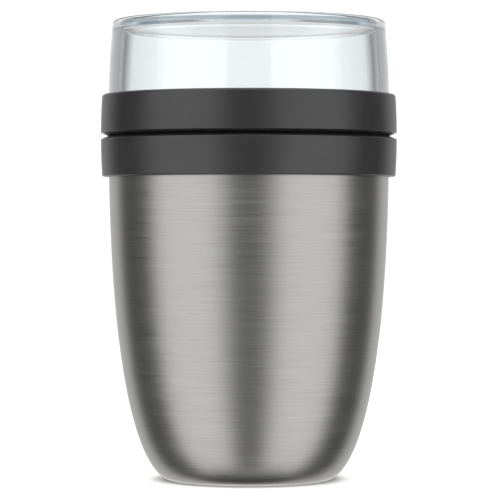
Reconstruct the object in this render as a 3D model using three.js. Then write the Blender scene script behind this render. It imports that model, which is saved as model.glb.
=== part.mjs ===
// Insulated lunch pot: a double-walled steel pot with a threaded collar, a screw lid whose
// hollow plug closes the mouth, and a clear cup that screws upside down into the lid, so that
// cup and lid make a second, smaller compartment on top.
// Millimetres, +Z up, origin on the floor at the centre of the base.
import * as THREE from "three";

// Driving dimensions of the steel pot
const BODY_HEIGHT = 109.3; // floor to the lower edge of the collar
const MOUTH_RADIUS = 43.5; // bore of the liner
const LINER_WALL = 0.5;
const SHELL_WALL = 0.6;
const NECK_VACUUM = 1.2; // gap between liner and shell inside the neck
const SHOULDER_WIDTH = 4.8; // from the neck out to the steel below the collar
const SHOULDER_RISE = 2.0; // upright steel inside the collar, below the shoulder
const SHOULDER_ROUND = 2.2;
const NECK_ROUND = 1.0;
const SIDE_LEAN = 1.75; // how far the side's tangent leans in on its way to the floor
const SIDE_LOW = 2.6; // height at which that tangent ends
const FOOT_RADIUS = 28.8; // where the curved side meets the floor
const FOOT_PULL = 1.8; // length of the side's tangent along the floor
const FOOT_WIDTH = 1.8; // flat ring that the pot stands on
const FLOOR_INSET = 6.8; // from the foot in to the flat of the inside floor
const LINER_STRAIGHT = 59.5; // upright liner wall below the rim
const LINER_SIDE_PULL = 0.56; // roundness of the liner's lower corner, 0 sharp to 1 full
const LINER_FLOOR_PULL = 0.75;
const RIM_ROUND = 0.8;
const RIM_INSET = 1.0; // rolled rim, inside the threaded neck

// Driving dimensions of the sealed base
const BASE_RECESS = 1.0; // floor to the underside of the cover
const COVER_SHEET = 0.5;
const COVER_RIM = 1.3; // height of the cover's turned-up rim
const PLATE_SHEET = 0.6;
const LIP_PROUD = 0.6; // shell's turned-up lip above the plate
const DIMPLE_SLOPE = 2.0; // width of the dimple's sloping wall
const DIMPLE_DEPTH = 1.2;
const EXHAUST_RADIUS = 0.7; // hole through which the air was drawn out
const BEAD_RADIUS = 1.9;
const BEAD_EDGE = 0.3;
const BEAD_DROP = 0.7;
const GETTER_SPACE = 2.3; // between the dimple and the getter
const GETTER_WIDTH = 2.5;
const GETTER_HEIGHT = 1.5;
const BASE_VACUUM = 3.1; // gap between the getter and the liner

// Driving dimensions of the collar and the lid
const COLLAR_BAND = 14.55; // height of the collar's visible band
const COLLAR_NECK_WALL = 2.5; // to the root of the thread
const COLLAR_WEB = 2.2; // top of the collar between band and neck
const COLLAR_CORNER = 0.8;
const GASKET_THICKNESS = 1.0;
const GASKET_WIDTH = 1.4;
const NECK_PROUD = 5.65; // rim above the collar's band
const THREAD_GAP = 1.4; // room for the thread between neck and lid
const SKIRT_WALL = 3.5;
const BAND_CROWN = 0.43; // how far the bands draw in away from the parting line
const NOTCH_DEPTH = 2.4; // V-shaped groove at the parting line
const NOTCH_RISE = 1.0; // height of each half of that groove
const LID_SEAL_THICKNESS = 1.5;
const SEAL_CORNER = 0.4;
const DECK_THICKNESS = 2.5;
const SOCKET_DEPTH = 5.5; // deck to the top of the lid's band
const SOCKET_WALL = 1.87;
const LID_CORNER = 1.0;
const PLUG_DEPTH = 15.0; // below the deck
const PLUG_GAP = 0.6; // between plug and liner
const PLUG_WALL = 1.8;
const PLUG_FLOOR = 2.0;
const PLUG_CORNER = 2.0;
const SEAL_GRIP = 0.9; // depth of the plug's groove that holds the seal

// Driving dimensions of the cup
const CUP_HEIGHT = 26.7; // above the lid's band
const CUP_GAP = 0.55; // between cup and socket
const CUP_TAPER = 1.33; // how far the side draws in towards the closed end
const CUP_WALL = 3.3;
const CUP_END = 2.4; // thickness of the closed end
const CUP_CORNER = 0.9;
const CUP_INNER_CORNER = 0.5;
const CUP_NECK_STEP = 1.05; // from the side in to the root of the thread
const CUP_SHOULDER = 1.0; // height of the sloping step above the neck
const CUP_NECK_DROP = 0.2; // step below the top of the lid's band
const CUP_FOOT_RING = 2.1; // flat of the ring that the cup stands on by itself
const CUP_FOOT_RECESS = 1.3;
const CUP_FOOT_SLOPE = 0.2; // how far the recess draws in towards its floor
const CUP_SEAL_THICKNESS = 1.7;
const CUP_SEAL_SINK = 0.8; // depth of the seal's groove in the deck
const CUP_SEAL_EDGE = 0.1; // seal beyond the cup's rim, on the outside
const CUP_SEAL_WIDTH = 3.0;

// Clearance between pieces that are set into each other
const FIT_GAP = 0.3;

// Facets
const SIDES = 40; // round each large ring
const SMALL_SIDES = 24; // round the small pieces of the base
const CURVE_STEPS = 12; // along the pot's side
const LINER_STEPS = 8; // along the liner's lower corner
const SLIGHT_STEPS = 3; // along a crowned or tapered wall
const ROUND_STEPS = 3; // along a rounded corner

// Radii, worked outwards from the mouth
const LINER_RADIUS = MOUTH_RADIUS + LINER_WALL;
const NECK_RADIUS = LINER_RADIUS + NECK_VACUUM + SHELL_WALL;
const BODY_RADIUS = NECK_RADIUS + SHOULDER_WIDTH;
const LIP_RADIUS = FOOT_RADIUS - FOOT_WIDTH;
const BASE_RADIUS = LIP_RADIUS - FIT_GAP;
const DIMPLE_FLAT_RADIUS = BEAD_RADIUS + FIT_GAP;
const DIMPLE_RADIUS = DIMPLE_FLAT_RADIUS + DIMPLE_SLOPE;
const GETTER_RADIUS = DIMPLE_RADIUS + GETTER_SPACE + GETTER_WIDTH;
const COLLAR_BORE = NECK_RADIUS + FIT_GAP;
const COLLAR_NECK_RADIUS = COLLAR_BORE + COLLAR_NECK_WALL;
const RIM_RADIUS = COLLAR_NECK_RADIUS - RIM_INSET;
const LID_BORE = COLLAR_NECK_RADIUS + THREAD_GAP;
const BAND_RADIUS = LID_BORE + SKIRT_WALL;
const BAND_EDGE_RADIUS = BAND_RADIUS - BAND_CROWN;
const NOTCH_RADIUS = BAND_RADIUS - NOTCH_DEPTH;
const PLUG_RADIUS = MOUTH_RADIUS - PLUG_GAP;
const PLUG_GROOVE_RADIUS = PLUG_RADIUS - SEAL_GRIP;
const PLUG_BORE = PLUG_GROOVE_RADIUS - PLUG_WALL;
const SOCKET_RADIUS = BAND_EDGE_RADIUS - SOCKET_WALL;
const CUP_RADIUS = SOCKET_RADIUS - CUP_GAP;
const CUP_END_RADIUS = CUP_RADIUS - CUP_TAPER;
const CUP_NECK_RADIUS = CUP_RADIUS - CUP_NECK_STEP;
const CUP_SEAL_RADIUS = CUP_NECK_RADIUS + CUP_SEAL_EDGE;

// Heights, worked upwards from the floor
const COVER_TOP_Z = BASE_RECESS + COVER_RIM;
const PLATE_TOP_Z = COVER_TOP_Z + PLATE_SHEET;
const LIP_TOP_Z = PLATE_TOP_Z + LIP_PROUD;
const DIMPLE_Z = COVER_TOP_Z + DIMPLE_DEPTH;
const GETTER_TOP_Z = PLATE_TOP_Z + GETTER_HEIGHT;
const LINER_UNDERSIDE_Z = GETTER_TOP_Z + BASE_VACUUM;
const LINER_FLOOR_Z = LINER_UNDERSIDE_Z + LINER_WALL;
const SHOULDER_ROUND_Z = BODY_HEIGHT + SHOULDER_RISE;
const SHOULDER_Z = SHOULDER_ROUND_Z + SHOULDER_ROUND;
const COLLAR_FOOT_Z = SHOULDER_Z + GASKET_THICKNESS;
const COLLAR_TOP_Z = BODY_HEIGHT + COLLAR_BAND;
const RIM_Z = COLLAR_TOP_Z + NECK_PROUD;
const NECK_TOP_Z = RIM_Z - LINER_WALL;
const LINER_STRAIGHT_Z = RIM_Z - LINER_STRAIGHT;
const LID_BOTTOM_Z = COLLAR_TOP_Z + FIT_GAP;
const DECK_UNDERSIDE_Z = RIM_Z + LID_SEAL_THICKNESS;
const DECK_Z = DECK_UNDERSIDE_Z + DECK_THICKNESS;
const LID_TOP_Z = DECK_Z + SOCKET_DEPTH;
const PLUG_BOTTOM_Z = DECK_UNDERSIDE_Z - PLUG_DEPTH;
const PLUG_LIP_Z = RIM_Z - FIT_GAP;
const PLUG_FLOOR_Z = PLUG_BOTTOM_Z + PLUG_FLOOR;
const CUP_SEAL_Z = DECK_Z - CUP_SEAL_SINK;
const CUP_RIM_Z = CUP_SEAL_Z + CUP_SEAL_THICKNESS;
const CUP_NECK_Z = LID_TOP_Z - CUP_NECK_DROP;
const CUP_TOP_Z = LID_TOP_Z + CUP_HEIGHT;

// Materials
const steel = { color: 0xb6b5b1, metalness: 1.0, roughness: 0.32 };
const darkPlastic = { color: 0x3a3a3b, metalness: 0.0, roughness: 0.5 };
const clearPlastic = {
  color: 0xeaf0f2,
  metalness: 0.0,
  roughness: 0.05,
  transparent: true,
  opacity: 0.3,
};
const silicone = { color: 0x8d8f90, metalness: 0.0, roughness: 0.65 };
const foam = { color: 0xe9e8e2, metalness: 0.0, roughness: 0.9 };
const solderGlass = { color: 0x4b4a46, metalness: 0.0, roughness: 0.2 };

// A point of a profile: radius and height.
function at(radius, height) {
  return new THREE.Vector2(radius, height);
}

// A rounded corner between two angles, given in quarter turns from the outward direction.
function corner(radius, height, round, from, to) {
  const quarter = Math.PI / 2;
  const clockwise = to < from;
  const curve = new THREE.EllipseCurve(
    radius, height, round, round, from * quarter, to * quarter, clockwise,
  );
  return curve.getPoints(ROUND_STEPS);
}

// A slightly bowed wall that leaves its first end upright and bows in by its last end.
function bowed(start, end) {
  const handle = at(start.x, (start.y + end.y) / 2);
  return new THREE.QuadraticBezierCurve(start, handle, end).getPoints(SLIGHT_STEPS);
}

// Points along a curve, moved sideways by a wall's thickness to the curve's right.
function beside(curve, wall, steps) {
  return curve.getPoints(steps).map((point, i) => {
    const along = curve.getTangent(i / steps);
    return at(point.x + along.y * wall, point.y - along.x * wall);
  });
}

// A ring or disc turned about the Z axis from a profile drawn outside first, from top to floor.
function turned(name, look, profile, sides = SIDES) {
  const onAxis = profile[0].x === 0;
  const outline = onAxis ? profile : [...profile, profile[0].clone()];
  const geometry = new THREE.LatheGeometry(outline.reverse(), sides);
  geometry.rotateX(Math.PI / 2);
  const mesh = new THREE.Mesh(geometry, new THREE.MeshStandardMaterial(look));
  mesh.name = name;
  return mesh;
}

// The four corners of a plain ring.
function ring(radius, width, bottomZ, topZ) {
  return [
    at(radius, topZ),
    at(radius, bottomZ),
    at(radius - width, bottomZ),
    at(radius - width, topZ),
  ];
}

// The pot's side, from the collar's lower edge down to the floor.
function sideCurve() {
  return new THREE.CubicBezierCurve(
    at(BODY_RADIUS, BODY_HEIGHT),
    at(BODY_RADIUS - SIDE_LEAN, SIDE_LOW),
    at(FOOT_RADIUS + FOOT_PULL, 0),
    at(FOOT_RADIUS, 0),
  );
}

// Outer shell: neck, shoulder, curved side, foot and the lip turned up round the base.
function outerShell() {
  const side = sideCurve();
  const shoulderEnd = BODY_RADIUS - SHOULDER_ROUND;
  const innerRound = SHOULDER_ROUND - SHELL_WALL;
  const neckCentre = NECK_RADIUS + NECK_ROUND;
  const neckCentreZ = SHOULDER_Z + NECK_ROUND;
  const inside = [
    ...corner(neckCentre, neckCentreZ, NECK_ROUND + SHELL_WALL, 2, 3),
    ...corner(shoulderEnd, SHOULDER_ROUND_Z, innerRound, 1, 0),
    ...beside(side, SHELL_WALL, CURVE_STEPS),
  ];
  return turned("outer_shell", steel, [
    at(NECK_RADIUS, NECK_TOP_Z),
    ...corner(neckCentre, neckCentreZ, NECK_ROUND, 2, 3),
    ...corner(shoulderEnd, SHOULDER_ROUND_Z, SHOULDER_ROUND, 1, 0),
    ...side.getPoints(CURVE_STEPS),
    at(LIP_RADIUS, 0),
    at(LIP_RADIUS, LIP_TOP_Z),
    at(LIP_RADIUS + SHELL_WALL, LIP_TOP_Z),
    at(LIP_RADIUS + SHELL_WALL, SHELL_WALL),
    ...inside.reverse(),
    at(NECK_RADIUS - SHELL_WALL, NECK_TOP_Z),
  ]);
}

// Inner liner: rolled rim, upright wall and a rounded lower corner into a flat floor.
function innerLiner() {
  const flat = FOOT_RADIUS - FLOOR_INSET;
  const drop = LINER_STRAIGHT_Z - LINER_UNDERSIDE_Z;
  const reach = LINER_RADIUS - flat;
  const lower = new THREE.CubicBezierCurve(
    at(LINER_RADIUS, LINER_STRAIGHT_Z),
    at(LINER_RADIUS, LINER_STRAIGHT_Z - drop * LINER_SIDE_PULL),
    at(flat + reach * LINER_FLOOR_PULL, LINER_UNDERSIDE_Z),
    at(flat, LINER_UNDERSIDE_Z),
  );
  return turned("inner_liner", steel, [
    at(0, LINER_FLOOR_Z),
    ...beside(lower, LINER_WALL, LINER_STEPS).reverse(),
    ...corner(MOUTH_RADIUS + RIM_ROUND, RIM_Z - RIM_ROUND, RIM_ROUND, 2, 1),
    at(RIM_RADIUS, RIM_Z),
    at(RIM_RADIUS, NECK_TOP_Z),
    at(LINER_RADIUS, NECK_TOP_Z),
    ...lower.getPoints(LINER_STEPS),
    at(0, LINER_UNDERSIDE_Z),
  ]);
}

// Base plate: welded into the lip, with the dimple through which the air was drawn out.
function basePlate() {
  return turned("base_plate", steel, [
    at(BASE_RADIUS, PLATE_TOP_Z),
    at(BASE_RADIUS, COVER_TOP_Z),
    at(DIMPLE_RADIUS, COVER_TOP_Z),
    at(DIMPLE_FLAT_RADIUS, DIMPLE_Z),
    at(EXHAUST_RADIUS, DIMPLE_Z),
    at(EXHAUST_RADIUS, DIMPLE_Z + PLATE_SHEET),
    at(DIMPLE_FLAT_RADIUS, DIMPLE_Z + PLATE_SHEET),
    at(DIMPLE_RADIUS, PLATE_TOP_Z),
  ]);
}

// Base cover: the sheet that shows underneath, with a rim turned up against the plate.
function baseCover() {
  return turned("base_cover", steel, [
    at(0, BASE_RECESS + COVER_SHEET),
    at(BASE_RADIUS - COVER_SHEET, BASE_RECESS + COVER_SHEET),
    at(BASE_RADIUS - COVER_SHEET, COVER_TOP_Z),
    at(BASE_RADIUS, COVER_TOP_Z),
    at(BASE_RADIUS, BASE_RECESS),
    at(0, BASE_RECESS),
  ]);
}

// Bead of solder glass that closes the exhaust hole.
function vacuumSealBead() {
  const edgeZ = DIMPLE_Z - BEAD_EDGE;
  const dome = new THREE.EllipseCurve(0, edgeZ, BEAD_RADIUS, BEAD_DROP, 0, -Math.PI / 2, true);
  const below = dome.getPoints(ROUND_STEPS).slice(0, -1);
  return turned("vacuum_seal_bead", solderGlass, [
    at(0, DIMPLE_Z),
    at(BEAD_RADIUS, DIMPLE_Z),
    ...below,
    at(0, edgeZ - BEAD_DROP),
  ], SMALL_SIDES);
}

// Getter: the ring of gas-binding metal inside the vacuum.
function getterRing() {
  const outline = ring(GETTER_RADIUS, GETTER_WIDTH, PLATE_TOP_Z, GETTER_TOP_Z);
  return turned("getter_ring", steel, outline, SMALL_SIDES);
}

// Collar: the lower band and, joined to it by a web, the neck that carries the lid's thread.
function neckCollar() {
  const webZ = COLLAR_TOP_Z - COLLAR_WEB;
  const skirtBore = BODY_RADIUS + FIT_GAP;
  const edge = BAND_EDGE_RADIUS - COLLAR_CORNER;
  const cornerZ = BODY_HEIGHT + COLLAR_CORNER;
  return turned("neck_collar", darkPlastic, [
    at(COLLAR_BORE, NECK_TOP_Z),
    at(COLLAR_NECK_RADIUS, NECK_TOP_Z),
    at(COLLAR_NECK_RADIUS, COLLAR_TOP_Z),
    at(NOTCH_RADIUS, COLLAR_TOP_Z),
    ...bowed(at(BAND_RADIUS, COLLAR_TOP_Z - NOTCH_RISE), at(BAND_EDGE_RADIUS, cornerZ)),
    ...corner(edge, cornerZ, COLLAR_CORNER, 0, -1).slice(1),
    at(skirtBore, BODY_HEIGHT),
    at(skirtBore, webZ),
    at(COLLAR_NECK_RADIUS, webZ),
    at(COLLAR_NECK_RADIUS, COLLAR_FOOT_Z),
    at(COLLAR_BORE, COLLAR_FOOT_Z),
  ]);
}

// Gasket between the steel shoulder and the foot of the collar's neck.
function collarGasket() {
  const radius = COLLAR_NECK_RADIUS - FIT_GAP;
  const outline = ring(radius, GASKET_WIDTH, SHOULDER_Z, COLLAR_FOOT_Z);
  return turned("collar_gasket", silicone, outline);
}

// Lid: threaded skirt, the upper band, the deck across it and the socket for the cup.
function lidShell() {
  const grooveOuter = CUP_SEAL_RADIUS + FIT_GAP;
  const grooveInner = CUP_SEAL_RADIUS - CUP_SEAL_WIDTH - FIT_GAP;
  const edge = BAND_EDGE_RADIUS - LID_CORNER;
  const cornerZ = LID_TOP_Z - LID_CORNER;
  const band = bowed(at(BAND_RADIUS, LID_BOTTOM_Z + NOTCH_RISE), at(BAND_EDGE_RADIUS, cornerZ));
  return turned("lid_shell", darkPlastic, [
    at(0, DECK_Z),
    at(grooveInner, DECK_Z),
    at(grooveInner, CUP_SEAL_Z),
    at(grooveOuter, CUP_SEAL_Z),
    at(grooveOuter, DECK_Z),
    at(SOCKET_RADIUS, DECK_Z),
    at(SOCKET_RADIUS, LID_TOP_Z),
    ...corner(edge, cornerZ, LID_CORNER, 1, 0),
    ...band.reverse().slice(1),
    at(NOTCH_RADIUS, LID_BOTTOM_Z),
    at(LID_BORE, LID_BOTTOM_Z),
    at(LID_BORE, DECK_UNDERSIDE_Z),
    at(0, DECK_UNDERSIDE_Z),
  ]);
}

// Plug: the hollow cover below the deck that reaches into the mouth.
function lidPlug() {
  const cornerZ = PLUG_BOTTOM_Z + PLUG_CORNER;
  return turned("lid_plug", darkPlastic, [
    at(0, PLUG_FLOOR_Z),
    at(PLUG_BORE, PLUG_FLOOR_Z),
    at(PLUG_BORE, DECK_UNDERSIDE_Z),
    at(PLUG_GROOVE_RADIUS, DECK_UNDERSIDE_Z),
    at(PLUG_GROOVE_RADIUS, PLUG_LIP_Z),
    at(PLUG_RADIUS, PLUG_LIP_Z),
    ...corner(PLUG_RADIUS - PLUG_CORNER, cornerZ, PLUG_CORNER, 0, -1),
    at(0, PLUG_BOTTOM_Z),
  ]);
}

// Foam disc inside the plug.
function lidInsulation() {
  const radius = PLUG_BORE - FIT_GAP;
  const topZ = DECK_UNDERSIDE_Z - FIT_GAP;
  return turned("lid_insulation", foam, [
    at(0, topZ),
    at(radius, topZ),
    at(radius, PLUG_FLOOR_Z),
    at(0, PLUG_FLOOR_Z),
  ]);
}

// Seal that the lid presses on the pot's rim, held in the plug's groove.
function lidSeal() {
  const inner = PLUG_GROOVE_RADIUS + FIT_GAP;
  return turned("lid_seal", silicone, [
    at(RIM_RADIUS - SEAL_CORNER, DECK_UNDERSIDE_Z),
    at(RIM_RADIUS, DECK_UNDERSIDE_Z - SEAL_CORNER),
    at(RIM_RADIUS, RIM_Z + SEAL_CORNER),
    at(RIM_RADIUS - SEAL_CORNER, RIM_Z),
    at(inner, RIM_Z),
    at(inner, DECK_UNDERSIDE_Z),
  ]);
}

// Clear cup, upside down: closed end at the top, bowed side, threaded neck and open rim.
function clearCup() {
  const recessZ = CUP_TOP_Z - CUP_FOOT_RECESS;
  const endZ = recessZ - CUP_END;
  const cornerZ = CUP_TOP_Z - CUP_CORNER;
  const innerCornerZ = endZ - CUP_INNER_CORNER;
  const innerEnd = CUP_END_RADIUS - CUP_WALL;
  const cornerCentre = CUP_END_RADIUS - CUP_CORNER;
  const recess = cornerCentre - CUP_FOOT_RING;
  const outside = bowed(at(CUP_RADIUS, CUP_NECK_Z), at(CUP_END_RADIUS, cornerZ));
  const inside = bowed(at(CUP_RADIUS - CUP_WALL, CUP_RIM_Z), at(innerEnd, innerCornerZ));
  return turned("clear_cup", clearPlastic, [
    at(0, recessZ),
    at(recess - CUP_FOOT_SLOPE, recessZ),
    at(recess, CUP_TOP_Z),
    ...corner(cornerCentre, cornerZ, CUP_CORNER, 1, 0),
    ...outside.reverse().slice(1),
    at(CUP_NECK_RADIUS, CUP_NECK_Z - CUP_SHOULDER),
    at(CUP_NECK_RADIUS, CUP_RIM_Z),
    ...inside,
    ...corner(innerEnd - CUP_INNER_CORNER, innerCornerZ, CUP_INNER_CORNER, 0, 1).slice(1),
    at(0, endZ),
  ]);
}

// Seal in the deck that the cup's rim presses on.
function cupSeal() {
  const outline = ring(CUP_SEAL_RADIUS, CUP_SEAL_WIDTH, CUP_SEAL_Z, CUP_RIM_Z);
  return turned("cup_seal", silicone, outline);
}

const pot = new THREE.Group();
pot.add(outerShell(), innerLiner(), neckCollar(), collarGasket());
pot.add(basePlate(), baseCover(), vacuumSealBead(), getterRing());

const lid = new THREE.Group();
lid.add(lidShell(), lidPlug(), lidInsulation(), lidSeal());

const cup = new THREE.Group();
cup.add(clearCup(), cupSeal());

const lunchPot = new THREE.Group();
lunchPot.add(pot, lid, cup);

export default lunchPot;
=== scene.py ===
"""Insulated lunch pot: a brushed steel vessel, a dark screw lid and a clear cup on top.

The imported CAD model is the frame. Each of its nodes is replaced here by a finely turned piece
with rounded edges, moulded threads and a procedural finish. Lengths are in millimetres until a
mesh is made, +Z is up, and the origin is on the floor at the centre of the base.
"""

import logging
import math
from dataclasses import dataclass, field, replace
from enum import Enum

import bmesh
import bpy
from bmesh.types import BMesh, BMVert
from bpy.types import Material, Node, NodeSocket, NodeTree, Object
from mathutils import Matrix, Vector
from mathutils.geometry import interpolate_bezier


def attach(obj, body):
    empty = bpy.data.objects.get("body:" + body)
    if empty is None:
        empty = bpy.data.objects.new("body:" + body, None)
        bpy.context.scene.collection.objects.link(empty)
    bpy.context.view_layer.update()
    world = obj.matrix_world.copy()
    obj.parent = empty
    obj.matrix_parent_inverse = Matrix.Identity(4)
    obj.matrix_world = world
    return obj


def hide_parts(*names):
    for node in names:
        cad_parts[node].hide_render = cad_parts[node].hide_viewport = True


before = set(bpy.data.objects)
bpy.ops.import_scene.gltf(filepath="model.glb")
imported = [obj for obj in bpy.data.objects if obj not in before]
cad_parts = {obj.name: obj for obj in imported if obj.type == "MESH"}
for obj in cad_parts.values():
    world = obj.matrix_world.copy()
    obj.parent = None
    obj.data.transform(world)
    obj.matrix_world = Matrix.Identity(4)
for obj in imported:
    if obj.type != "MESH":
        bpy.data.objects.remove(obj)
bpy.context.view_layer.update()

Colour = tuple[float, float, float, float]  # linear red, green, blue and alpha
Point = tuple[float, float]  # radius and height
Levels = tuple[tuple[float, float], ...]  # angles in degrees, each with its brightness

LOG = logging.getLogger("lunch_pot")
AROUND = 144  # facets round a turned piece
ROUND_SEGMENTS = 6  # facets along a rounded corner
CURVE_STEP = 0.9  # length of a facet along a curved wall
LONG_EDGE = 1.6 * CURVE_STEP  # a longer straight edge gets support points
ARC = 0.55  # handle of a quarter circle, as a share of its radius
HOLD = 0.12  # distance of the support points that keep a flat wall flat up to its rounding
MERGE = 1e-7  # metres within which points of a mesh are one
CREASE = math.radians(38.0)  # a sharper edge stays sharp
NOISE_LOW, NOISE_HIGH = 0.3, 0.7  # between these lies nearly all of a noise

# Setbacks of rounded edges, from a sheet's broken edge to a soft corner
BROKEN = 0.1
CRISP = 0.15
FINE = 0.2
RUBBER = 0.25
EASED = 0.3
SOFT = 0.4
FULL = 0.5
BROAD = 0.8


class Body(Enum):
    """Moving bodies of the CAD model."""

    POT = "pot"
    LID_SEALING = "lid_sealing"
    LID = "lid"
    CUP_SEALING = "cup_sealing"
    CUP = "cup"


class Slot(Enum):
    """Material slots of the record."""

    BRUSHED_STEEL = "brushed_steel"
    LINER_STEEL = "liner_steel"
    DARK_PLASTIC = "dark_plastic"
    CLEAR_PLASTIC = "clear_plastic"
    SILICONE = "silicone"
    FOAM = "foam"
    SOLDER_GLASS = "solder_glass"


class Lay(Enum):
    """Direction in which a brushed surface changes from scratch to scratch."""

    UP_THE_SIDE = "up the side"
    ACROSS_THE_DISC = "across the disc"


def mm(length: float) -> float:
    """Millimetres as metres."""
    return length / 1000.0


def per_size(size: float) -> float:
    """Pattern scale, in repeats per metre, for a feature of this size in millimetres."""
    return 1.0 / mm(size)


def linear(colour: str) -> Colour:
    """Turns an sRGB hex colour into linear light.

    Args:
        colour: six hex digits, such as "b6b5b1".

    Returns:
        Linear red, green, blue and an alpha of 1.
    """
    parts = [int(colour[i : i + 2], 16) / 255.0 for i in (0, 2, 4)]
    light = [c / 12.92 if c <= 0.04045 else ((c + 0.055) / 1.055) ** 2.4 for c in parts]
    return light[0], light[1], light[2], 1.0


def grey(level: float) -> Colour:
    """Grey light of this brightness."""
    return level, level, level, 1.0


def add_node(
    tree: NodeTree,
    kind: str,
    inputs: dict[str | int, object] | None = None,
    stops: list[tuple[float, Colour]] | None = None,
    **settings: object,
) -> Node:
    """Adds a shader node with its settings and links.

    Args:
        tree: node tree that the node goes into.
        kind: type of the node, without its ShaderNode prefix.
        inputs: a value, or a socket to link from, for each input by name or number.
        stops: positions and linear colours of a colour ramp.
        **settings: the node's own properties.

    Returns:
        The new node.
    """
    made = tree.nodes.new("ShaderNode" + kind)
    for name, value in settings.items():
        setattr(made, name, value)
    for name, value in (inputs or {}).items():
        if isinstance(value, NodeSocket):
            tree.links.new(value, made.inputs[name])
        else:
            made.inputs[name].default_value = value
    for i, (position, colour) in enumerate(stops or []):
        elements = made.color_ramp.elements
        element = elements[i] if i < 2 else elements.new(position)
        element.position = position
        element.color = colour
    return made


def start_material(name: str) -> tuple[Material, NodeTree, NodeSocket]:
    """Makes an empty node material.

    Args:
        name: what the material is and how its surface was made.

    Returns:
        The material, its node tree and the place on the piece, in metres.
    """
    material = bpy.data.materials.new(name)
    material.use_nodes = True
    tree = material.node_tree
    tree.nodes.clear()
    return material, tree, add_node(tree, "TexCoord").outputs["Object"]


def end_material(material: Material, shader: Node, inside: Node | None = None) -> Material:
    """Links a material's output.

    Args:
        material: the material, with all its other nodes.
        shader: shader of the surface.
        inside: shader of the volume, for a clear material.

    Returns:
        The finished material.
    """
    made = {"Surface": shader.outputs[0]}
    if inside:
        made["Volume"] = inside.outputs[0]
    add_node(material.node_tree, "OutputMaterial", made)
    return material


@dataclass(frozen=True)
class Grained:
    """A material whose tone, roughness and relief follow a fine pattern."""

    name: str
    light: str
    dark: str
    roughness: float
    spread: float = 0.0  # how far the roughness varies
    low: float = 0.35  # where on the pattern the tone is dark, and where it is light
    high: float = 0.65
    relief: float = 0.0  # strength of the bump
    depth: float = 0.0

    def skin(
        self, tree: NodeTree, tone: NodeSocket, wear: NodeSocket, height: NodeSocket
    ) -> dict[str, NodeSocket | float]:
        """Adds the nodes for tone, roughness and relief.

        Args:
            tree: node tree of the material.
            tone: pattern that the colour follows.
            wear: pattern that the roughness follows.
            height: pattern that the relief follows.

        Returns:
            The shader's base colour, roughness and normal.
        """
        colour = add_node(
            tree,
            "ValToRGB",
            {"Fac": tone},
            stops=[(self.low, linear(self.dark)), (self.high, linear(self.light))],
        )
        made = {"Base Color": colour.outputs["Color"], "Roughness": self.roughness}
        if self.spread:
            limits = {
                "Value": wear,
                "From Min": NOISE_LOW,
                "From Max": NOISE_HIGH,
                "To Min": self.roughness - self.spread,
                "To Max": self.roughness + self.spread,
            }
            made["Roughness"] = add_node(tree, "MapRange", limits).outputs["Result"]
        if self.relief:
            bump = {"Strength": self.relief, "Distance": mm(self.depth), "Height": height}
            made["Normal"] = add_node(tree, "Bump", bump).outputs[0]
        return made


@dataclass(frozen=True)
class BrushedSteel(Grained):
    """Stainless steel sheet, brushed round its axis with a belt.

    The scratches spread a reflection across them and keep it sharp along them, so a round side
    shows upright bands of light and dark with a fine level grain over them.
    """

    light: str = "cecdc9"
    dark: str = "bebdb9"
    roughness: float = 0.31
    spread: float = 0.04
    low: float = 0.34
    high: float = 0.66
    relief: float = 0.25
    depth: float = 0.005
    lay: Lay = Lay.UP_THE_SIDE
    anisotropy: float = 0.2
    scratch: float = 0.5  # real scratches are 0.05 to 0.1 mm apart, too fine to show
    band: float = 3.6  # height of the broader bands that the belt leaves
    band_share: float = 0.12
    length: float = 22.0  # how long a scratch stays visible

    def material(self) -> Material:
        """Builds the material.

        Returns:
            The brushed steel.
        """
        material, tree, coords = start_material(self.name)
        if self.lay is Lay.ACROSS_THE_DISC:
            x, y, _ = add_node(tree, "SeparateXYZ", {"Vector": coords}).outputs
            flat = add_node(tree, "CombineXYZ", {"X": x, "Y": y}).outputs[0]
            out = add_node(tree, "VectorMath", {0: flat}, operation="LENGTH").outputs["Value"]
            coords = add_node(tree, "CombineXYZ", {"X": x, "Y": y, "Z": out}).outputs[0]
        along = per_size(self.length)
        streaks = []
        for height, detail in ((self.scratch, 3.0), (self.band, 1.0)):
            stretch = (along, along, per_size(height))
            place = add_node(tree, "Mapping", {"Vector": coords, "Scale": stretch}).outputs[0]
            noise = {"Vector": place, "Scale": 1.0, "Detail": detail, "Roughness": 0.6}
            streaks.append(add_node(tree, "TexNoise", noise).outputs[0])
        fine, broad = streaks
        grain = add_node(
            tree, "Mix", {"Factor": self.band_share, "A": fine, "B": broad}, data_type="FLOAT"
        ).outputs["Result"]
        tangent = add_node(tree, "Tangent", direction_type="RADIAL", axis="Z")
        shader = add_node(
            tree,
            "BsdfPrincipled",
            {
                **self.skin(tree, grain, grain, fine),
                "Metallic": 1.0,
                "Anisotropic": self.anisotropy,
                "Anisotropic Rotation": 0.25,  # a quarter turn, across the tangent
                "Tangent": tangent.outputs[0],
            },
        )
        return end_material(material, shader)


@dataclass(frozen=True)
class Mottled(Grained):
    """A grained material whose pattern is a noise, the same in all directions."""

    grain: float = 1.0  # size of the noise
    mottle: float = 0.0  # size of a broader noise for the tone, or 0 where that follows the grain
    detail: float = 2.0  # how many finer layers the noise has
    metallic: float = 0.0
    ior: float = 1.5
    specular: float = 0.5

    def material(self) -> Material:
        """Builds the material.

        Returns:
            The mottled material.
        """
        material, tree, coords = start_material(self.name)
        fine, slow = (
            add_node(
                tree,
                "TexNoise",
                {"Vector": coords, "Scale": per_size(size), "Detail": self.detail},
            ).outputs[0]
            for size in (self.grain, self.mottle or self.grain)
        )
        shader = add_node(
            tree,
            "BsdfPrincipled",
            {
                **self.skin(tree, slow, fine, fine),
                "Metallic": self.metallic,
                "IOR": self.ior,
                "Specular IOR Level": self.specular,
            },
        )
        return end_material(material, shader)


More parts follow.
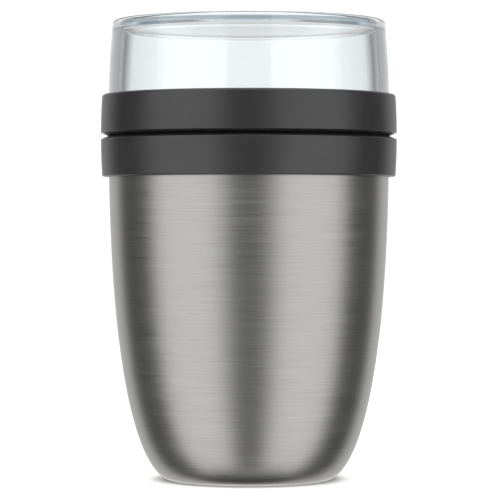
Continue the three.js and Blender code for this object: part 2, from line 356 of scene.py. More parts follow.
@dataclass(frozen=True)
class SinteredMetal(Mottled):
    """Getter alloy pressed from powder: dull grey with an open grain."""

    name: str = "getter alloy, pressed powder"
    light: str = "8e8a84"
    dark: str = "5d5a56"
    roughness: float = 0.6
    relief: float = 0.6
    depth: float = 0.05
    grain: float = 0.35
    detail: float = 3.0
    metallic: float = 0.8


@dataclass(frozen=True)
class Silicone(Mottled):
    """Silicone rubber, moulded grey: soft sheen, with a faint bloom of lighter dust."""

    name: str = "silicone rubber, moulded matt"
    light: str = "9a9c9d"
    dark: str = "85878a"
    roughness: float = 0.55
    low: float = 0.3
    high: float = 0.7
    relief: float = 0.2
    depth: float = 0.02
    grain: float = 2.5
    detail: float = 4.0
    ior: float = 1.41


@dataclass(frozen=True)
class SolderGlass(Mottled):
    """Lead-free solder glass, melted over the hole: dark, glossy and slightly bubbled."""

    name: str = "solder glass, melted in place"
    light: str = "4f4d47"
    dark: str = "393832"
    roughness: float = 0.12
    grain: float = 0.4
    ior: float = 1.7


@dataclass(frozen=True)
class MouldedPlastic(Mottled):
    """Polypropylene moulded in a spark-eroded tool: a dark satin skin with an even fine grain."""

    name: str = "polypropylene, moulded with a spark-eroded grain"
    light: str = "2a2a2b"
    dark: str = "232324"
    roughness: float = 0.33
    spread: float = 0.04
    relief: float = 0.4
    depth: float = 0.012
    grain: float = 0.45  # the real grain is about 0.1 mm, too fine to show
    mottle: float = 9.0
    specular: float = 1.0


@dataclass(frozen=True)
class ClearPlastic:
    """Clear copolyester, moulded in a polished tool: like glass, with a cool cast in its depth."""

    name: str = "copolyester, moulded clear in a polished tool"
    colour: str = "ffffff"
    cast: str = "7fb7d4"  # what its depth leaves of white light, more so with the density
    density: float = 5.0  # per metre
    ior: float = 1.52
    roughness: float = 0.01
    flow: float = 24.0  # width of the faint waves that the melt leaves
    relief: float = 0.3
    depth: float = 0.004

    def material(self) -> Material:
        """Builds the material.

        Returns:
            The clear plastic.
        """
        material, tree, coords = start_material(self.name)
        waves = add_node(
            tree, "TexNoise", {"Vector": coords, "Scale": per_size(self.flow), "Detail": 0.0}
        ).outputs[0]
        bump = add_node(
            tree, "Bump", {"Strength": self.relief, "Distance": mm(self.depth), "Height": waves}
        )
        shader = add_node(
            tree,
            "BsdfPrincipled",
            {
                "Base Color": linear(self.colour),
                "Roughness": self.roughness,
                "IOR": self.ior,
                "Transmission Weight": 1.0,
                "Normal": bump.outputs[0],
            },
        )
        inside = add_node(
            tree, "VolumeAbsorption", {"Color": linear(self.cast), "Density": self.density}
        )
        return end_material(material, shader, inside)


@dataclass(frozen=True)
class BeadFoam(Grained):
    """Expanded polystyrene, steamed in a mould: white beads pressed flat against each other."""

    name: str = "expanded polystyrene, moulded from beads"
    light: str = "efeee9"
    dark: str = "d2d0c8"  # of the seams between the beads
    roughness: float = 0.85
    low: float = 0.0
    high: float = 0.12
    relief: float = 0.5
    depth: float = 0.2
    bead: float = 3.0

    def material(self) -> Material:
        """Builds the material.

        Returns:
            The foam.
        """
        material, tree, coords = start_material(self.name)
        cells = add_node(
            tree,
            "TexVoronoi",
            {"Vector": coords, "Scale": per_size(self.bead)},
            feature="DISTANCE_TO_EDGE",
        ).outputs["Distance"]
        shader = add_node(tree, "BsdfPrincipled", self.skin(tree, cells, cells, cells))
        return end_material(material, shader)


@dataclass(frozen=True)
class Corner:
    """A corner of a turned profile: radius, height and how far off its rounding starts."""

    radius: float
    height: float
    setback: float = 0.0


@dataclass(frozen=True)
class Ridges:
    """A moulded thread with several short starts, each a ridge that climbs part of a turn."""

    root: float  # radius of the wall that carries the ridges
    crest: float
    first_z: float  # height of the ridge's middle where it starts
    lead: float = 10.0  # climb in a full turn
    sweep: float = 70.0  # degrees that one ridge covers
    root_width: float = 1.15
    crest_width: float = 0.6
    starts: int = 4
    sunk: float = 0.35  # how far the ridge reaches into its wall
    steps: int = 24

    def add_to(self, shape: BMesh) -> None:
        """Adds the ridges to a shape, each as a closed solid.

        Args:
            shape: mesh that the ridges go into.
        """
        outward = math.copysign(1.0, self.crest - self.root)
        foot = self.root - outward * self.sunk
        climb = self.lead * self.sweep / 360.0 / self.steps
        corners = [
            (foot, self.first_z - self.root_width / 2),
            (self.crest, self.first_z - self.crest_width / 2),
            (self.crest, self.first_z + self.crest_width / 2),
            (foot, self.first_z + self.root_width / 2),
        ]
        for start in range(self.starts):
            section = [shape.verts.new((mm(r), 0.0, mm(z))) for r, z in corners]
            face = shape.faces.new(section)
            swing = Matrix.Rotation(2 * math.pi * start / self.starts, 3, "Z")
            bmesh.ops.rotate(shape, verts=section, cent=(0, 0, 0), matrix=swing)
            swept = bmesh.ops.spin(
                shape,
                geom=[face, *face.edges, *section],
                cent=(0, 0, 0),
                axis=(0, 0, 1),
                dvec=(0, 0, mm(climb)),
                angle=math.radians(self.sweep),
                steps=self.steps,
                use_merge=False,
            )
            last = [g for g in swept["geom_last"] if isinstance(g, BMVert)]
            for end in (section, last):
                self._run_out(shape, end)

    def _run_out(self, shape: BMesh, end: list[BMVert]) -> None:
        """Sinks the crest at one end of a ridge into the wall.

        Args:
            shape: mesh that holds the ridge.
            end: the four points of that end.
        """
        half = self.root + (self.crest - self.root) / 2
        outward = math.copysign(1.0, self.crest - self.root)
        high = [v for v in end if (v.co.xy.length - mm(half)) * outward > 0]
        sink = (self.root - outward * self.sunk / 2) / self.crest
        bmesh.ops.scale(shape, vec=(sink, sink, 1.0), verts=high)


@dataclass(frozen=True)
class CupRidges(Ridges):
    """The finer thread between lid and cup."""

    lead: float = 8.0
    sweep: float = 60.0
    root_width: float = 0.95
    crest_width: float = 0.5


def curve(start: Point, first: Point, second: Point, end: Point) -> list[Corner]:
    """Draws a curved wall as a fine chain of corners.

    Args:
        start: radius and height of its first end.
        first: handle of that end.
        second: handle of the last end.
        end: radius and height of the last end.

    Returns:
        Corners along the curve, both ends among them.
    """
    points = [Vector((r, 0.0, z)) for r, z in (start, first, second, end)]
    rough = sum((b - a).length for a, b in zip(points, points[1:]))
    count = max(4, math.ceil(rough / CURVE_STEP))
    return [Corner(p.x, p.z) for p in interpolate_bezier(*points, count)]


def bow(start: Point, end: Point, setback: float) -> list[Corner]:
    """Draws a wall that leaves its first end upright and bows in by its last end.

    Args:
        start: radius and height of the upright end.
        end: radius and height of the other end.
        setback: rounding of the upright end.

    Returns:
        Corners along the wall, both ends among them.
    """
    (r0, z0), (r1, z1) = start, end
    middle = (z0 + z1) / 2
    first = (r0, z0 + (middle - z0) * 2 / 3)
    second = (r1 + (r0 - r1) * 2 / 3, z1 + (middle - z1) * 2 / 3)
    wall = curve(start, first, second, end)
    return [replace(wall[0], setback=setback), *wall[1:]]


def draw(shape: BMesh, corners: list[Corner], closed: bool) -> None:
    """Draws a profile as a chain of edges and rounds its corners.

    Args:
        shape: empty mesh.
        corners: the profile's corners in order.
        closed: whether the last corner joins the first.
    """
    points = [shape.verts.new((mm(c.radius), 0.0, mm(c.height))) for c in corners]
    for a, b in zip(points, points[1:]):
        shape.edges.new((a, b))
    if closed:
        shape.edges.new((points[-1], points[0]))
    for setback in sorted({c.setback for c in corners if c.setback}):
        bmesh.ops.bevel(
            shape,
            geom=[p for p, c in zip(points, corners) if c.setback == setback],
            offset=mm(setback),
            offset_type="OFFSET",
            segments=ROUND_SEGMENTS,
            profile=0.5,
            affect="VERTICES",
            material=-1,
        )
    for edge in [e for e in shape.edges if e.calc_length() > mm(LONG_EDGE)]:
        for point in list(edge.verts):
            bmesh.utils.edge_split(edge, point, mm(HOLD) / edge.calc_length())


def turn(name: str, corners: list[Corner], closed: bool = False, wall: float = 0.0) -> Object:
    """Turns a profile about the Z axis.

    Args:
        name: name of the piece.
        corners: the profile's corners in order.
        closed: whether the profile is a ring's, which closes on itself.
        wall: thickness of a sheet, to the inside of the profile, or 0 for a solid.

    Returns:
        The piece's object.
    """
    shape = bmesh.new()
    draw(shape, corners, closed)
    bmesh.ops.spin(
        shape,
        geom=[*shape.verts, *shape.edges],
        cent=(0, 0, 0),
        axis=(0, 0, 1),
        angle=2 * math.pi,
        steps=AROUND,
        use_merge=True,
    )
    bmesh.ops.remove_doubles(shape, verts=shape.verts, dist=MERGE)
    bmesh.ops.recalc_face_normals(shape, faces=shape.faces)
    if wall:
        bmesh.ops.solidify(shape, geom=shape.faces[:], thickness=mm(wall))
    return to_object(name, shape)


def to_object(name: str, shape: BMesh) -> Object:
    """Makes an object of a finished shape.

    Args:
        name: name of the piece.
        shape: the mesh, which is freed.

    Returns:
        The object, at the origin.
    """
    mesh = bpy.data.meshes.new(name)
    shape.to_mesh(mesh)
    shape.free()
    made = bpy.data.objects.new(name, mesh)
    bpy.context.scene.collection.objects.link(made)
    return made


def fuse(piece: Object, *threads: Ridges) -> None:
    """Fuses moulded threads with the piece that carries them.

    Args:
        piece: the piece, whose mesh is replaced.
        *threads: the threads on it.
    """
    shape = bmesh.new()
    for thread in threads:
        thread.add_to(shape)
    bmesh.ops.recalc_face_normals(shape, faces=shape.faces)
    ridges = to_object(piece.name + "_ridges", shape)
    joint = piece.modifiers.new("fused", "BOOLEAN")
    joint.operation = "UNION"
    joint.solver = "EXACT"
    joint.object = ridges
    graph = bpy.context.evaluated_depsgraph_get()
    fused = bpy.data.meshes.new_from_object(piece.evaluated_get(graph))
    piece.modifiers.clear()
    plain = piece.data
    piece.data = fused
    bpy.data.meshes.remove(plain)
    bpy.data.objects.remove(ridges)
    fused.name = piece.name


@dataclass
class Assembly:
    """A group of pieces that are made and finished together."""

    pieces: dict[str, Object] = field(default_factory=dict, init=False)

    def place(self, piece: Object, node: str, body: Body, slot: Slot) -> None:
        """Sets a piece in the frame, in place of its CAD node.

        Args:
            piece: the finished mesh.
            node: CAD node that it stands for.
            body: CAD body that it moves with.
            slot: material slot of the record; not used.
        """
        piece.data.shade_smooth()
        piece.data.set_sharp_from_angle(angle=CREASE)
        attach(piece, body.value)
        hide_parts(node)
        self.pieces[node] = piece

    def paint(self, **finishes: Material) -> None:
        """Gives each piece its material.

        Args:
            **finishes: material for each CAD node's piece.
        """
        for node, material in finishes.items():
            self.pieces[node].data.materials.clear()
            self.pieces[node].data.materials.append(material)


@dataclass
class SteelPot(Assembly):
    """The double-walled vessel and its sealed base."""

    side_radius: float = 50.6
    side_top: float = 109.3
    side_lean: float = 1.75
    side_low: float = 2.6
    foot_radius: float = 28.8
    foot_pull: float = 1.8
    lip_radius: float = 27.0
    lip_top: float = 3.5
    shoulder_z: float = 113.5
    shoulder_round: float = 2.2
    neck_radius: float = 45.8
    neck_round: float = 1.0
    neck_top: float = 129.0
    shell_wall: float = 0.6
    liner_radius: float = 44.0
    liner_straight: float = 70.0
    liner_pull: float = 35.0
    liner_underside: float = 7.5
    floor_radius: float = 22.0
    floor_pull: float = 38.5
    rim_radius: float = 47.6
    liner_wall: float = 0.5
    base_radius: float = 26.7
    cover_z: float = 1.0
    cover_sheet: float = 0.5
    plate_z: float = 2.3
    plate_sheet: float = 0.6
    dimple_radius: float = 4.2
    dimple_flat: float = 2.2
    dimple_z: float = 3.5
    exhaust_radius: float = 0.7
    bead_radius: float = 1.9
    bead_edge: float = 0.3
    bead_drop: float = 0.7
    getter_inner: float = 6.5
    getter_outer: float = 9.0
    getter_top: float = 4.4

    def build(self) -> None:
        """Makes the pieces of the vessel."""
        steel, inside = Slot.BRUSHED_STEEL, Slot.LINER_STEEL
        self.place(self.shell(), "outer_shell", Body.POT, steel)
        self.place(self.liner(), "inner_liner", Body.POT, inside)
        self.place(self.plate(), "base_plate", Body.POT, inside)
        self.place(self.cover(), "base_cover", Body.POT, steel)
        self.place(self.bead(), "vacuum_seal_bead", Body.POT, Slot.SOLDER_GLASS)
        self.place(self.getter(), "getter_ring", Body.POT, inside)

    def dress(self) -> None:
        """Gives the vessel its steel and the base its inner materials."""
        side = BrushedSteel("stainless steel, brushed round the side")
        disc = BrushedSteel("stainless steel, brushed round the disc", lay=Lay.ACROSS_THE_DISC)
        satin = BrushedSteel(
            "stainless steel, drawn and electropolished",
            light="c4c4c2",
            dark="b8b8b6",
            roughness=0.24,
            spread=0.03,
            anisotropy=0.35,
            scratch=1.1,
            depth=0.003,
        )
        lining = satin.material()
        self.paint(
            outer_shell=side.material(),
            inner_liner=lining,
            base_plate=lining,
            base_cover=disc.material(),
            vacuum_seal_bead=SolderGlass().material(),
            getter_ring=SinteredMetal().material(),
        )

    def shell(self) -> Object:
        """Turns the outer sheet: neck, shoulder, curved side, foot and inner lip.

        Returns:
            The shell, with its wall.
        """
        side = curve(
            (self.side_radius, self.side_top),
            (self.side_radius - self.side_lean, self.side_low),
            (self.foot_radius + self.foot_pull, 0.0),
            (self.foot_radius, 0.0),
        )
        outline = [
            Corner(self.neck_radius, self.neck_top),
            Corner(self.neck_radius, self.shoulder_z, self.neck_round),
            Corner(self.side_radius, self.shoulder_z, self.shoulder_round),
            *side,
            Corner(self.lip_radius, 0.0, SOFT),
            Corner(self.lip_radius, self.lip_top),
        ]
        return turn("steel_shell", outline, wall=self.shell_wall)

    def liner(self) -> Object:
        """Turns the inner sheet: rolled rim, upright wall, rounded corner and floor.

        Returns:
            The liner, with its wall.
        """
        lower = curve(
            (self.liner_radius, self.liner_straight),
            (self.liner_radius, self.liner_pull),
            (self.floor_pull, self.liner_underside),
            (self.floor_radius, self.liner_underside),
        )
        outline = [
            Corner(self.rim_radius, self.neck_top),
            Corner(self.liner_radius, self.neck_top, EASED),
            *lower,
            Corner(0.0, self.liner_underside),
        ]
        return turn("steel_liner", outline, wall=self.liner_wall)

    def plate(self) -> Object:
        """Turns the plate that closes the vacuum, with its dimple.

        Returns:
            The plate.
        """
        top = self.plate_z + self.plate_sheet
        outline = [
            Corner(self.base_radius, top, BROKEN),
            Corner(self.base_radius, self.plate_z, BROKEN),
            Corner(self.dimple_radius, self.plate_z, SOFT),
            Corner(self.dimple_flat, self.dimple_z, EASED),
            Corner(self.exhaust_radius, self.dimple_z, BROKEN),
            Corner(self.exhaust_radius, self.dimple_z + self.plate_sheet, BROKEN),
            Corner(self.dimple_flat, self.dimple_z + self.plate_sheet, SOFT),
            Corner(self.dimple_radius, top, EASED),
        ]
        return turn("vacuum_plate", outline, closed=True)

    def cover(self) -> Object:
        """Turns the sheet that shows underneath, with its turned-up rim.

        Returns:
            The cover.
        """
        inner = self.base_radius - self.cover_sheet
        floor = self.cover_z + self.cover_sheet
        outline = [
            Corner(0.0, floor),
            Corner(inner, floor, EASED),
            Corner(inner, self.plate_z),
            Corner(self.base_radius, self.plate_z),
            Corner(self.base_radius, self.cover_z, BROAD),
            Corner(0.0, self.cover_z),
        ]
        return turn("base_disc", outline)

    def bead(self) -> Object:
        """Turns the drop of solder glass that closes the exhaust hole.

        Returns:
            The bead.
        """
        edge = self.dimple_z - self.bead_edge
        outline = [
            Corner(0.0, self.dimple_z),
            Corner(self.bead_radius, self.dimple_z, BROKEN),
            *curve(
                (self.bead_radius, edge),
                (self.bead_radius, edge - self.bead_drop * ARC),
                (self.bead_radius * ARC, edge - self.bead_drop),
                (0.0, edge - self.bead_drop),
            ),
        ]
        return turn("seal_bead", outline)

    def getter(self) -> Object:
        """Turns the ring of gas-binding metal.

        Returns:
            The getter.
        """
        low = self.plate_z + self.plate_sheet
        outline = [
            Corner(self.getter_outer, low, FINE),
            Corner(self.getter_outer, self.getter_top, SOFT),
            Corner(self.getter_inner, self.getter_top, SOFT),
            Corner(self.getter_inner, low, FINE),
        ]
        return turn("getter", outline, closed=True)


@dataclass
class Collar(Assembly):
    """The lower dark band with the threaded neck, and its gasket."""

    bore: float = 46.1
    neck_radius: float = 48.6
    neck_top: float = 129.0
    top: float = 123.85
    notch_radius: float = 51.1
    notch_rise: float = 1.0
    band_radius: float = 53.5
    edge_radius: float = 53.07
    bottom: float = 109.3
    bottom_round: float = 0.8
    skirt_bore: float = 50.9
    web: float = 2.2
    foot: float = 114.5
    gasket_outer: float = 48.3
    gasket_inner: float = 46.9
    gasket_bottom: float = 113.5
    thread: Ridges = Ridges(root=48.6, crest=49.7, first_z=126.35)

    def build(self) -> None:
        """Makes the collar and its gasket."""
        collar = self.band()
        fuse(collar, self.thread)
        self.place(collar, "neck_collar", Body.POT, Slot.DARK_PLASTIC)
        self.place(self.gasket(), "collar_gasket", Body.POT, Slot.SILICONE)

    def dress(self) -> None:
        """Gives the collar its plastic and the gasket its silicone."""
        self.paint(neck_collar=MouldedPlastic().material(), collar_gasket=Silicone().material())

    def band(self) -> Object:
        """Turns the band, the web and the neck.

        Returns:
            The collar, without its thread.
        """
        web_z = self.top - self.web
        side = bow(
            (self.band_radius, self.top - self.notch_rise),
            (self.edge_radius, self.bottom + self.bottom_round),
            FINE,
        )
        outline = [
            Corner(self.bore, self.neck_top, SOFT),
            Corner(self.neck_radius, self.neck_top, FULL),
            Corner(self.neck_radius, self.top, EASED),
            Corner(self.notch_radius, self.top, CRISP),
            *side[:-1],
            Corner(self.edge_radius, self.bottom, self.bottom_round),
            Corner(self.skirt_bore, self.bottom, FINE),
            Corner(self.skirt_bore, web_z, FULL),
            Corner(self.neck_radius, web_z, FULL),
            Corner(self.neck_radius, self.foot, FINE),
            Corner(self.bore, self.foot, FINE),
        ]
        return turn("collar", outline, closed=True)

    def gasket(self) -> Object:
        """Turns the gasket below the neck's foot.

        Returns:
            The gasket.
        """
        outline = [
            Corner(self.gasket_outer, self.foot, RUBBER),
            Corner(self.gasket_outer, self.gasket_bottom, RUBBER),
            Corner(self.gasket_inner, self.gasket_bottom, RUBBER),
            Corner(self.gasket_inner, self.foot, RUBBER),
        ]
        return turn("collar_ring", outline, closed=True)


@dataclass
class ScrewLid(Assembly):
    """The upper dark band with its deck, the plug below it, the foam and the seal."""

    bottom: float = 124.15
    top: float = 139.0
    deck: float = 133.5
    deck_underside: float = 131.0
    bore: float = 50.0
    socket: float = 51.2
    notch_radius: float = 51.1
    notch_rise: float = 1.0
    band_radius: float = 53.5
    edge_radius: float = 53.07
    top_round: float = 1.0
    groove_inner: float = 46.4
    groove_outer: float = 50.0
    groove_floor: float = 132.7
    plug_radius: float = 42.9
    plug_neck: float = 42.0
    plug_lip: float = 129.2
    plug_bore: float = 40.2
    plug_bottom: float = 116.0
    plug_floor: float = 118.0
    plug_round: float = 2.0
    foam_radius: float = 39.9
    foam_top: float = 130.7
    seal_inner: float = 42.3
    seal_outer: float = 47.6
    seal_bottom: float = 129.5
    rib_outer: float = 46.2
    rib_inner: float = 45.0
    rib_relief: float = 0.25
    skirt_thread: Ridges = Ridges(root=50.0, crest=48.9, first_z=125.05)
    socket_thread: Ridges = CupRidges(root=51.2, crest=50.0, first_z=136.05)

    def build(self) -> None:
        """Makes the pieces of the lid."""
        cap = self.cap()
        fuse(cap, self.skirt_thread, self.socket_thread)
        self.place(cap, "lid_shell", Body.LID, Slot.DARK_PLASTIC)
        self.place(self.plug(), "lid_plug", Body.LID, Slot.DARK_PLASTIC)
        self.place(self.foam(), "lid_insulation", Body.LID, Slot.FOAM)
        self.place(self.seal(), "lid_seal", Body.LID_SEALING, Slot.SILICONE)

    def dress(self) -> None:
        """Gives the lid its plastic, foam and silicone."""
        plastic = MouldedPlastic().material()
        self.paint(
            lid_shell=plastic,
            lid_plug=plastic,
            lid_insulation=BeadFoam().material(),
            lid_seal=Silicone().material(),
        )

    def cap(self) -> Object:
        """Turns the band, the deck with its groove, the socket and the skirt.

        Returns:
            The lid, without its threads.
        """
        side = bow(
            (self.band_radius, self.bottom + self.notch_rise),
            (self.edge_radius, self.top - self.top_round),
            FINE,
        )
        outline = [
            Corner(0.0, self.deck),
            Corner(self.groove_inner, self.deck, FINE),
            Corner(self.groove_inner, self.groove_floor, CRISP),
            Corner(self.groove_outer, self.groove_floor, CRISP),
            Corner(self.groove_outer, self.deck, FINE),
            Corner(self.socket, self.deck, EASED),
            Corner(self.socket, self.top, SOFT),
            Corner(self.edge_radius, self.top, self.top_round),
            *side[-2::-1],
            Corner(self.notch_radius, self.bottom, CRISP),
            Corner(self.bore, self.bottom, EASED),
            Corner(self.bore, self.deck_underside, SOFT),
            Corner(0.0, self.deck_underside),
        ]
        return turn("lid_cap", outline)

    def plug(self) -> Object:
        """Turns the hollow cover that reaches into the mouth.

        Returns:
            The plug.
        """
        outline = [
            Corner(0.0, self.plug_floor),
            Corner(self.plug_bore, self.plug_floor, BROAD),
            Corner(self.plug_bore, self.deck_underside, FINE),
            Corner(self.plug_neck, self.deck_underside, FINE),
            Corner(self.plug_neck, self.plug_lip, CRISP),
            Corner(self.plug_radius, self.plug_lip, FINE),
            Corner(self.plug_radius, self.plug_bottom, self.plug_round),
            Corner(0.0, self.plug_bottom),
        ]
        return turn("plug", outline)

    def foam(self) -> Object:
        """Turns the foam disc inside the plug.

        Returns:
            The foam disc.
        """
        outline = [
            Corner(0.0, self.foam_top),
            Corner(self.foam_radius, self.foam_top, BROAD),
            Corner(self.foam_radius, self.plug_floor, BROAD),
            Corner(0.0, self.plug_floor),
        ]
        return turn("foam_disc", outline)

    def seal(self) -> Object:
        """Turns the seal that presses on the rim with two ribs.

        Returns:
            The lid's seal.
        """
        relief = self.seal_bottom + self.rib_relief
        outline = [
            Corner(self.seal_inner, self.deck_underside, FINE),
            Corner(self.seal_outer, self.deck_underside, SOFT),
            Corner(self.seal_outer, self.seal_bottom, SOFT),
            Corner(self.rib_outer, self.seal_bottom, CRISP),
            Corner(self.rib_outer - self.rib_relief, relief, BROKEN),
            Corner(self.rib_inner + self.rib_relief, relief, BROKEN),
            Corner(self.rib_inner, self.seal_bottom, CRISP),
            Corner(self.seal_inner, self.seal_bottom, FINE),
        ]
        return turn("rim_seal", outline, closed=True)


@dataclass
class ClearCup(Assembly):
    """The clear cup, upside down, and the seal that its rim presses on."""

    top: float = 165.7
    end: float = 2.4
    recess: float = 1.3
    seam: float = 0.15  # gap between the end disc and the wall
    seam_round: float = 0.04
    web: float = 0.12  # what the disc hangs on
    side_radius: float = 50.65
    end_radius: float = 49.32
    wall: float = 3.3
    outer_round: float = 1.3
    inner_round: float = 0.2
    side_bottom: float = 138.8
    neck_radius: float = 49.6
    neck_top: float = 137.8
    rim: float = 134.4
    seal_inner: float = 46.7
    seal_outer: float = 49.7
    seal_bottom: float = 132.7
    thread: Ridges = CupRidges(root=49.6, crest=50.8, first_z=134.95)

    def build(self) -> None:
        """Makes the cup and its seal."""
        cup = self.cup()
        fuse(cup, self.thread)
        self.place(cup, "clear_cup", Body.CUP, Slot.CLEAR_PLASTIC)
        self.place(self.seal(), "cup_seal", Body.CUP_SEALING, Slot.SILICONE)

    def dress(self) -> None:
        """Gives the cup its clear plastic and the seal its silicone."""
        self.paint(clear_cup=ClearPlastic().material(), cup_seal=Silicone().material())

    def cup(self) -> Object:
        """Turns the end disc in its seam, the bowed wall, the neck and the rim.

        Returns:
            The cup, whose end disc hangs on a thin web, so that light meets it apart from the wall.
        """
        inner = self.side_radius - self.wall
        inner_end = self.end_radius - self.wall
        end_z = self.top - self.recess - self.end
        disc = inner_end - self.seam
        outside = bow(
            (self.side_radius, self.side_bottom),
            (self.end_radius, self.top - self.outer_round),
            EASED,
        )
        inside = bow((inner, self.rim), (inner_end, end_z - self.inner_round), SOFT)
        outline = [
            Corner(0.0, self.top - self.recess),
            Corner(disc, self.top - self.recess, FINE),
            Corner(disc, end_z + self.web, self.seam_round),
            Corner(inner_end, end_z + self.web, self.seam_round),
            Corner(inner_end, self.top, SOFT),
            Corner(self.end_radius, self.top, self.outer_round),
            *outside[-2::-1],
            Corner(self.neck_radius, self.neck_top, EASED),
            Corner(self.neck_radius, self.rim, FULL),
            *inside[:-1],
            Corner(inner_end, end_z, self.inner_round),
            Corner(0.0, end_z),
        ]
        return turn("cup", outline)

    def seal(self) -> Object:
        """Turns the seal in the deck's groove.

        Returns:
            The cup's seal.
        """
        outline = [
            Corner(self.seal_outer, self.rim, SOFT),
            Corner(self.seal_outer, self.seal_bottom, RUBBER),
            Corner(self.seal_inner, self.seal_bottom, RUBBER),
            Corner(self.seal_inner, self.rim, SOFT),
        ]
        return turn("cup_ring", outline, closed=True)


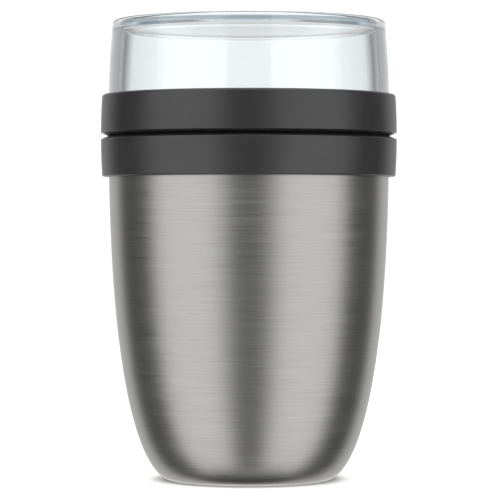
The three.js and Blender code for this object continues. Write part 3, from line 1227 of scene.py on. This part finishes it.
@dataclass
class Studio:
    """Floor, light and camera."""

    frame_width: float = 500.0  # pixels
    focal_length: float = 2650.0  # pixels
    axis_column: float = 248.86  # pixel column of the pot's axis
    horizon_row: float = 220.0  # pixel row level with the camera
    camera_distance: float = 960.0
    camera_height: float = 93.7
    floor_radius: float = 1100.0
    floor_drop: float = 0.05
    floor_glow: float = 0.62
    painted_shadow_from: float = 29.0  # the floor's glow fades in between these radii round the pot's foot: a painted contact shadow
    painted_shadow_to: float = 38.0
    bounces: int = 48  # light runs to and fro many times inside the cup's clear end
    panel: float = 1.1
    overhead: float = 1.1
    overhead_from: float = 35.0  # degrees above the horizon
    overhead_to: float = 60.0
    floor_from: float = -52.0
    floor_to: float = -70.0
    table: float = 0.6  # brightness of the table behind the pot, as the cup's end mirrors it
    table_edge: float = -4.05
    table_blur: float = 0.15
    behind_from: float = 0.3  # how far back a direction points where the table fades in
    behind_to: float = 0.6
    # Light round the pot, by the angle in degrees from the camera's side
    ring: Levels = (
        (0.0, 0.14), (10.5, 0.14), (29.5, 0.93), (77.0, 0.93), (94.0, 0.08),
        (126.0, 0.08), (139.0, 0.62), (163.5, 0.66), (169.0, 1.1), (180.0, 1.1),
    )
    # The same for light that runs inside the cup's clear walls
    walls: Levels = (
        (0.0, 0.08), (18.5, 0.08), (21.0, 0.93), (83.5, 0.93), (86.5, 0.08),
        (126.0, 0.08), (139.0, 0.36), (168.0, 0.42), (175.0, 1.1), (180.0, 1.1),
    )
    # What the clear cup looks through to, by the same angle
    through: Levels = (
        (0.0, 1.075), (136.0, 1.075), (140.0, 0.36), (163.5, 0.36), (169.0, 1.075),
        (180.0, 1.075),
    )
    cast: str = "f9fdff"  # of the light that comes through the cup
    # Light from below, by the angle in degrees from straight down towards the back
    under: Levels = (
        (-90.0, 0.3), (-40.0, 0.36), (-24.0, 0.36), (-14.0, 0.26), (-5.0, 0.03),
        (20.0, 0.02), (29.0, 0.3), (41.0, 0.95), (90.0, 1.1),
    )

    def build(self) -> None:
        """Makes the floor, the light and the camera."""
        self.floor()
        self.light()
        self.camera()
        bpy.context.scene.view_settings.view_transform = "Standard"
        paths = bpy.context.scene.cycles
        paths.max_bounces = self.bounces
        paths.glossy_bounces = self.bounces
        paths.transmission_bounces = self.bounces

    def floor(self) -> None:
        """Makes a pale floor, a light table that glows through its sheet, its glow faded out round
        the pot's foot as a painted contact shadow.
        """
        shape = bmesh.new()
        bmesh.ops.create_circle(shape, cap_ends=True, segments=96, radius=mm(self.floor_radius))
        bmesh.ops.translate(shape, vec=(0.0, 0.0, -mm(self.floor_drop)), verts=shape.verts)
        floor = to_object("floor", shape)
        material, tree, place = start_material("acrylic sheet, opal, lit from below")
        pale = linear("f4f4f3")
        reach = add_node(tree, "VectorMath", {0: place}, operation="LENGTH").outputs["Value"]
        # painted shadow: the glow fades to nothing towards the pot's foot, standing in for its
        # contact shadow
        painted_shadow = {
            "Value": reach,
            "From Min": mm(self.painted_shadow_from),
            "From Max": mm(self.painted_shadow_to),
            "To Max": self.floor_glow,
        }
        glow = add_node(tree, "MapRange", painted_shadow, interpolation_type="SMOOTHSTEP")
        shader = add_node(
            tree,
            "BsdfPrincipled",
            {
                "Base Color": pale,
                "Roughness": 0.7,
                "Specular IOR Level": 0.0,
                "Emission Color": pale,
                "Emission Strength": glow.outputs[0],
            },
        )
        floor.data.materials.append(end_material(material, shader))
        floor.visible_glossy = False

    def light(self) -> None:
        """Lights the pot with two tall soft boxes and a white panel behind it.

        Between them it is dark, which draws the dark bands on the steel. The camera sees white
        all round, and the cup looks through to white beside a grey strip, which draws its walls.
        """
        world = bpy.data.worlds.new("studio")
        bpy.context.scene.world = world
        world.use_nodes = True
        tree = world.node_tree
        tree.nodes.clear()
        direction = add_node(tree, "TexCoord").outputs["Generated"]
        across, back, up = add_node(tree, "SeparateXYZ", {"Vector": direction}).outputs
        aside = add_node(tree, "Math", {0: across}, operation="ABSOLUTE").outputs[0]
        front, down = (
            add_node(tree, "Math", {0: way, 1: -1.0}, operation="MULTIPLY").outputs[0]
            for way in (back, up)
        )
        height = add_node(tree, "Math", {0: up}, operation="ARCSINE").outputs[0]
        turned = add_node(tree, "Math", {0: aside, 1: front}, operation="ARCTAN2").outputs[0]
        tipped = add_node(tree, "Math", {0: back, 1: down}, operation="ARCTAN2").outputs[0]
        path = add_node(tree, "LightPath").outputs
        passed = add_node(
            tree, "Math", {0: path["Transmission Depth"], 1: 0.5}, operation="GREATER_THAN"
        ).outputs[0]
        bounced = add_node(
            tree, "Math", {0: path["Glossy Depth"], 1: path["Diffuse Depth"]}, operation="ADD"
        ).outputs[0]
        direct = add_node(tree, "Math", {0: bounced, 1: 0.5}, operation="LESS_THAN").outputs[0]
        high, low = (
            add_node(
                tree,
                "MapRange",
                {"Value": height, "From Min": math.radians(start), "From Max": math.radians(end)},
                interpolation_type="SMOOTHSTEP",
            ).outputs[0]
            for start, end in (
                (self.overhead_from, self.overhead_to),
                (self.floor_from, self.floor_to),
            )
        )
        behind = add_node(
            tree,
            "MapRange",
            {"Value": back, "From Min": self.behind_from, "From Max": self.behind_to},
        ).outputs[0]
        sunk = add_node(
            tree,
            "MapRange",
            {
                "Value": height,
                "From Min": math.radians(self.table_edge + self.table_blur),
                "From Max": math.radians(self.table_edge - self.table_blur),
                "To Max": behind,
            },
        ).outputs[0]
        mirrored = add_node(tree, "Math", {0: sunk, 1: passed}, operation="MULTIPLY").outputs[0]
        glow = self._levels(tree, turned, self.ring)
        for share, light in (
            (passed, self._levels(tree, turned, self.walls, self.cast)),
            (high, grey(self.overhead)),
            (low, self._levels(tree, tipped, self.under)),
            (direct, self._levels(tree, turned, self.through, self.cast)),
            (mirrored, grey(self.table)),
            (path["Is Camera Ray"], grey(self.panel)),
        ):
            layers = {"Factor": share, 6: glow, 7: light}
            glow = add_node(tree, "Mix", layers, data_type="RGBA").outputs[2]
        shining = add_node(tree, "Background", {"Color": glow, "Strength": 1.0})
        add_node(tree, "OutputWorld", {"Surface": shining.outputs[0]})

    @staticmethod
    def _levels(
        tree: NodeTree, angle: NodeSocket, levels: Levels, cast: str = "ffffff"
    ) -> NodeSocket:
        """Adds a light that changes with an angle.

        Args:
            tree: node tree of the world.
            angle: the angle, in radians.
            levels: angles in degrees, each with its brightness.
            cast: sRGB hex value that tints the light.

        Returns:
            The colour of the light.
        """
        red, green, blue = linear(cast)[:3]
        start, end = levels[0][0], levels[-1][0]
        share = add_node(
            tree,
            "MapRange",
            {"Value": angle, "From Min": math.radians(start), "From Max": math.radians(end)},
        )
        ramp = add_node(
            tree,
            "ValToRGB",
            {"Fac": share.outputs[0]},
            stops=[
                ((degrees - start) / (end - start), (red * v, green * v, blue * v, 1.0))
                for degrees, v in levels
            ],
        )
        return ramp.outputs["Color"]

    def camera(self) -> None:
        """Sets the camera level with the pot's middle, as far away as in the photograph."""
        lens = bpy.data.cameras.new("camera")
        lens.sensor_width = 36.0
        lens.lens = lens.sensor_width * self.focal_length / self.frame_width
        lens.clip_start = 0.05
        lens.clip_end = 20.0
        camera = bpy.data.objects.new("camera", lens)
        bpy.context.scene.collection.objects.link(camera)
        middle = self.frame_width / 2
        aside = (middle - self.axis_column) * self.camera_distance / self.focal_length
        camera.location = (mm(aside), -mm(self.camera_distance), mm(self.camera_height))
        tilt = math.atan((middle - self.horizon_row) / self.focal_length)
        camera.rotation_euler = (math.pi / 2 - tilt, 0.0, 0.0)
        bpy.context.scene.camera = camera


def main() -> None:
    """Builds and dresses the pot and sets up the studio."""
    logging.basicConfig(level=logging.INFO, format="%(name)s: %(message)s")
    for assembly in (SteelPot(), Collar(), ScrewLid(), ClearCup()):
        assembly.build()
        assembly.dress()
        for node, piece in assembly.pieces.items():
            LOG.info("%s stands for %s with %d faces", piece.name, node, len(piece.data.polygons))
    Studio().build()


if __name__ == "__main__":
    main()
